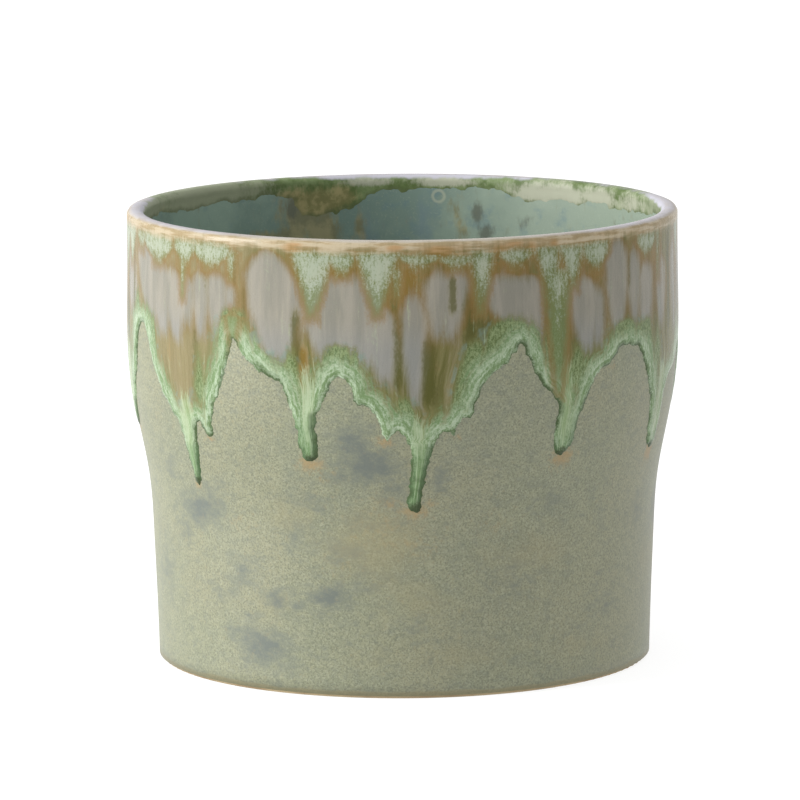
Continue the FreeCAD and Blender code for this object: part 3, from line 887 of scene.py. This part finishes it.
faces = top_faces + [[index + len(top_flat) for index in face[::-1]] for face in under_faces]

mesh = bpy.data.meshes.new("run_coat")
mesh.from_pydata(np.vstack([top_places, under_places]).tolist(), [], faces)
bare_count = len(under_flat)
TIP_FAR = 40  # millimetres from a drip's tip, past which no more is told apart
tips = np.array([laid_flat(turn, up_outside(height)) for _, _, (turn, height), _, _ in basins])
tip_gap = np.hypot(*(top_flat[:, None, :] - tips[None, :, :]).transpose(2, 0, 1)).min(axis=1)
heads = [(turn, 2.1, height + 27, height + 4, 1.0) for _, _, (turn, height), _, _ in basins]
mint_depth = np.maximum(
    depth_in(MINT, turns, heights, 0.02, 0.1, 1.0), depth_in(SCALLOPS, turns, heights, 0.02, 0.3, 0.5)
)
depth_inside = np.maximum(heights - lip_height, 0)
# What the finish reads, as (numbers at the top's points, one number for all the points beneath).
STORED = {
    "edge": (edge_gap, 0),
    "slant": (slants, 0),
    "pool": (depth_in(POOLS, turns, heights, 0.22, 0.3, 0.5), -REACH),
    "mint": (mint_depth, -REACH),
    "olive": (streaks(OLIVE, turns, heights), 0),
    "orange": (streaks(ORANGE, turns, heights), 0),
    "head": (streaks(heads, turns, heights), 0),
    "tip_gap": (np.minimum(tip_gap, TIP_FAR), TIP_FAR),
    "veil": (np.interp(turns, *zip(*VEIL)), 1),
    "leaf": (streaks(LEAF, turns, heights), 0),
    "share": (share, 0.5),
    "grey": (patches(BRIM_GREY, turns, depth_inside, MOUTH_RADIUS), 0),
    "milk": (patches(BRIM_MILK, turns, depth_inside, MOUTH_RADIUS), 0),
    "brown": (patches(BRIM_BROWN, turns, depth_inside, MOUTH_RADIUS), 0),
    "narrow": (narrow, 0),
    "height": (heights, 100),
    "inner_edge": (inner_gap, 0),
}
for name, (on_top, beneath) in STORED.items():
    keep(mesh, name, np.concatenate([on_top, np.full(bare_count, float(beneath))]))
flow = mesh.attributes.new("flow", "FLOAT_VECTOR", "POINT")
angle = np.radians(np.concatenate([begun, np.degrees(under_flat[:, 0] / ROUND)]))
along = np.concatenate([heights, np.full(bare_count, 100.0)])
flow.data.foreach_set(
    "vector",
    (np.stack([ROUND * np.sin(angle), -ROUND * np.cos(angle), along], axis=1) * MM).astype(np.float32).ravel(),
)
run_glaze = bpy.data.objects.new("run_coat", mesh)
bpy.context.collection.objects.link(run_glaze)
bpy.context.view_layer.objects.active = run_glaze
run_glaze.select_set(True)
bpy.ops.object.mode_set(mode="EDIT")
bpy.ops.mesh.select_all(action="SELECT")
bpy.ops.mesh.remove_doubles(threshold=0.000004)
bpy.ops.object.mode_set(mode="OBJECT")
crown_face = max(mesh.polygons, key=lambda face: face.center.z * (abs(face.normal.z) > 0.9))
if crown_face.normal.z < 0:
    mesh.flip_normals()
bpy.ops.object.shade_smooth()
run_glaze.select_set(False)

drip, start = finish("run_glaze")
place = start.node("ShaderNodeTexCoord", output=3)
flow = start.node("ShaderNodeAttribute", {"attribute_name": "flow"}, output=1)
(
    edge, slant, pool, mint, olive, orange, head, tip_gap, veil,
    leaf, share, grey, milk, brown, narrow, height, inner_edge,
) = (start.kept(name) for name in STORED)
ribbon = flow.stretched(620, 42).grain(1, 3, 0.6)
thread = flow.stretched(1900, 150).grain(1, 2, 0.6)
broad = flow.stretched(190, 28).grain(1, 3, 0.6)
speck = place.grain(2200, 2, 0.6)
curdle = place.stretched(1500, 700).grain(1, 3, 0.65)
blotch = place.grain(240, 3, 0.6)
hoop = place.stretched(110, 900).grain(1, 3, 0.6)

# Streaks that follow the lower edge, where the glaze crept along it.
creep = start.node("ShaderNodeCombineXYZ", {}, {0: edge * 1.25, 1: height * 0.1, 2: share * 5})
strand = creep.grain(1, 3, 0.6, 0.4)

# Thin glaze over the sage coat: ochre with olive and rust streaks, and lighter tan to the west as painted light where
# the lamp falls.
colour = start.paint(82, 80, 38).under(100, 96, 58, ribbon.rise(0.38, 0.6))
colour = colour.under(124, 115, 88, (thread * 0.5 + broad * 0.5).rise(0.46, 0.66) * 0.6)
# Painted light: a lighter tan over the ochre towards the west side, where the lamp stands.
colour = colour.under(128, 116, 88, (place.millimetres(0) + broad.swing(60)).rise(-20, -62) * 0.55)
rusty = (orange + ribbon.swing(1.1) + curdle.swing(0.8)).rise(0.2, 1.0)
rusted = start.paint(130, 108, 72).under(106, 84, 28, (orange + broad.swing(1)).rise(0.5, 1.0))
colour = rusted.over(colour, rusty * 0.85)
mossy = (olive + thread.swing(0.6) + curdle.swing(0.8)).rise(0.15, 0.85)
colour = colour.under(66, 66, 20, mossy * 0.9)

# Pale pools of lavender grey, soft at their edges.
pooled = (pool + ribbon.swing(3.6) + thread.swing(1.6) + broad.swing(2) + curdle.swing(1.2)).rise(-1.8, 2.4)
lavender = start.paint(117, 115, 106).under(130, 126, 116, broad.rise(0.4, 0.62))
lavender = lavender.under(138, 133, 117, thread.rise(0.5, 0.74) * 0.28)
lavender = lavender.under(116, 119, 120, height.rise(110, 98) * 0.5)
shore = pool + ribbon.swing(3.6) + curdle.swing(1.2) + blotch.swing(2)
brink = shore.rise(-3.0, -0.4) * shore.rise(2.2, -0.2) * height.rise(96, 108)
colour = colour.under(104, 82, 38, brink * 0.65)
colour = lavender.over(colour, pooled * (1 - mossy * 0.8) * 0.93)

# Green near the lower edge, from olive through leaf green to pale mint strands.
clots = curdle * 0.6 + speck * 0.4
reach = edge + ribbon.swing(6) + broad.swing(5) + curdle.swing(4) - leaf * 7
turning = reach.rise(9.0, 4.0)
colour = colour.under(93, 96, 55, turning * clots.rise(0.36, 0.56) * 0.85)
bluish = reach.rise(9.5, 7.0) * reach.rise(4.0, 6.5) * (blotch * 0.6 + broad * 0.4).rise(0.5, 0.62)
colour = colour.under(100, 122, 114, bluish * 0.45)
greening = reach.rise(5.8, 2.2)
verdure = start.paint(74, 90, 50).under(116, 130, 92, clots.rise(0.4, 0.6))
colour = verdure.over(colour, greening * 0.9)
near_edge = edge + strand.swing(9) + ribbon.swing(9) + curdle.swing(3) + (1 - slant) * (1 - narrow) * 4
fibres = near_edge.rise(8.0, 3.2)
weave = (strand * 0.4 + ribbon * 0.25 + clots * 0.35).rise(0.42, 0.58)
pale = start.paint(98, 120, 82).under(156, 171, 147, weave)
colour = pale.over(colour, fibres * 0.92)

# Pale glaze gathers where a run narrows into its drip.
heady = (head + thread.swing(1.2) + ribbon.swing(1.8) + curdle.swing(0.8)).rise(0.3, 1.0)
headed = start.paint(120, 138, 98).under(150, 164, 134, (thread * 0.5 + broad * 0.5).rise(0.42, 0.56))
colour = headed.over(colour, heady * 0.75)

# The narrow drips are leaf green with pale upright fibres and darker down their sides; their east sides are darker
# still, painted shade on the side away from the lamp.
drip_there = (narrow + ribbon.swing(1.0) + strand.swing(0.8)).rise(0.1, 0.8)
grass = start.paint(80, 108, 66).under(144, 160, 128, (thread * 0.4 + ribbon * 0.6).rise(0.47, 0.6))
colour = grass.over(colour, drip_there * 0.85)
flank = drip_there * (edge + thread.swing(2) + curdle.swing(2)).rise(1.6, 0.4)
colour = colour.under(64, 86, 56, flank * 0.85)
# Painted shade: the east side of each narrow drip darkened, away from the lamp.
painted_east_shade = narrow.rise(0.0, 0.4) * (share + ribbon.swing(0.8)).rise(0.55, 0.9)
colour = colour.under(62, 82, 54, painted_east_shade * 0.65)

# Mint runs from the lip: pale, speckled green towards their ends, with a rust line round them.
ends = mint + curdle.swing(2.4) + ribbon.swing(3) + speck.swing(1.4)
halo = ends.rise(-3.0, -0.6) * (mint + blotch.swing(2)).rise(1.2, -0.2)
colour = colour.under(112, 84, 40, halo * 0.65)
minty = ends.rise(-2.2, 2.0)
clotted = (mint + clots.swing(18) + (height.rise(108, 124) - 1) * 3.4 + ribbon.swing(5)).rise(-1.6, 3.2)
minted = start.paint(94, 106, 66).under(143, 152, 135, clotted)
colour = minted.over(colour, minty * 0.82)

# A broken dark green line along the very edge.
gathered = place.grain(75, 2).rise(0.42, 0.62)
rind = (edge + blotch.swing(3.6) + speck.swing(1.6)).rise(0.7, 0.0) + gathered * (edge + blotch.swing(6)).rise(1.9, 0.4)
colour = colour.under(64, 80, 50, rind * 0.7)
char = (tip_gap + blotch.swing(5) + speck.swing(3)).rise(3.6, 1.4)
colour = colour.under(50, 60, 36, char * 0.85)

# The lip: a cream band outside with rust spots, and a pale crown, lavender at the sides and cream in front, partly thin
# pale glaze and partly a painted highlight on its lit top.
band = (height + hoop.swing(2.6) + ribbon.swing(1.6) + broad.swing(2.4)).rise(126.2, 129.0)
cream = start.paint(148, 131, 102).under(160, 148, 124, hoop.rise(0.42, 0.6))
cream = cream.under(146, 108, 58, (orange + hoop.swing(1.6)).rise(0.3, 1.0) * 0.65)
colour = cream.over(colour, band * (0.7 + (hoop + ribbon.swing(0.6)).rise(0.4, 0.6) * 0.3))
# The crown's pale colour is partly thin pale glaze and partly a painted highlight on the lit top of the lip.
crown = (height + hoop.swing(0.6)).rise(129.6, 130.3)
crest_and_highlight = start.paint(160, 155, 147).under(166, 165, 173, place.millimetres(1).rise(-74, -52))
colour = crest_and_highlight.over(colour, crown)

# Inside the mouth: olive green, sage, cream and brown in turn, darker along its edge.
within = (height + (1 - veil) * 1.5 + blotch.swing(1.2) + broad.swing(1.6)).rise(130.5, 131.3)
brim = start.paint(80, 96, 54).under(104, 120, 80, (blotch * 0.6 + broad * 0.4).rise(0.42, 0.6))
soft = curdle.swing(0.6) + blotch.swing(0.8)
brim = brim.under(134, 139, 117, (grey + soft).rise(0.15, 0.7) * 0.85)
brim = brim.under(160, 161, 144, (milk + soft).rise(0.2, 0.75) * 0.85)
burnt = start.paint(112, 108, 70).under(144, 134, 94, blotch.rise(0.4, 0.6))
brim = burnt.over(brim, (brown + soft).rise(0.2, 0.75) * 0.85)
brim = brim.under(84, 92, 64, (inner_edge + blotch.swing(3.0) + milk * 1.2).rise(1.9, 0.1) * 0.6)
colour = brim.over(colour, within)

relief = ribbon * 0.4 + thread * 0.3 + curdle * 0.3 + strand * fibres * 0.3
fired(start, colour, 0.2 + curdle * 0.16 + crown * 0.25, relief, 0.03 * MM, shine=0.18)
run_glaze.data.materials.append(drip)
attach(run_glaze, "root")
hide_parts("run_glaze")

# ---------------------------------------------------------------------------------------------
# The floor is a plain white disc. A large soft light stands to the left, and a white sky fills.

bpy.ops.mesh.primitive_circle_add(vertices=96, radius=14, fill_type="NGON", location=(0, 0, 0))
floor = bpy.context.object
floor.name = "studio_floor"
paper, start = finish("studio_paper")
surface = start.node(
    "ShaderNodeBsdfPrincipled", {}, {
        "Base Color": pigment(140, 140, 140), "Roughness": 0.9, "Specular IOR Level": 0.1,
        "Emission Color": (1, 1, 1, 1), "Emission Strength": 0.8,
    },
)
start.node("ShaderNodeOutputMaterial", {}, {"Surface": surface})
floor.data.materials.append(paper)

sky = bpy.data.worlds.new("studio_sky")
sky.use_nodes = True
sky.node_tree.nodes["Background"].inputs["Color"].default_value = (1, 1, 1, 1)
sky.node_tree.nodes["Background"].inputs["Strength"].default_value = 1.0
bpy.context.scene.world = sky
bpy.context.scene.view_settings.view_transform = "Standard"

lamp = bpy.data.lights.new("window_light", "AREA")
lamp.shape = "RECTANGLE"
lamp.size, lamp.size_y = 1.0, 1.3
lamp.energy = 58
stand = bpy.data.objects.new("window_light", lamp)
stand.location = (-1.75, -0.42, 0.75)
stand.rotation_euler = (Vector((0, 0, 0.07)) - stand.location).to_track_quat("-Z", "Y").to_euler()
bpy.context.collection.objects.link(stand)

camera = bpy.data.cameras.new("camera")
camera.lens = 279.9
camera.sensor_width = 36
camera.clip_end = 60
camera.shift_x = -0.0042
camera.shift_y = 0.0371
stand = bpy.data.objects.new("camera", camera)
elevation = math.radians(9.207)
away, aim_height = 1.8063, 0.06505
stand.location = (0, -away * math.cos(elevation), aim_height + away * math.sin(elevation))
upright = Matrix.Rotation(math.radians(90) - elevation, 3, "X")
stand.rotation_euler = (upright @ Matrix.Rotation(math.radians(-0.31), 3, "Z")).to_euler()
bpy.context.collection.objects.link(stand)
bpy.context.scene.camera = stand
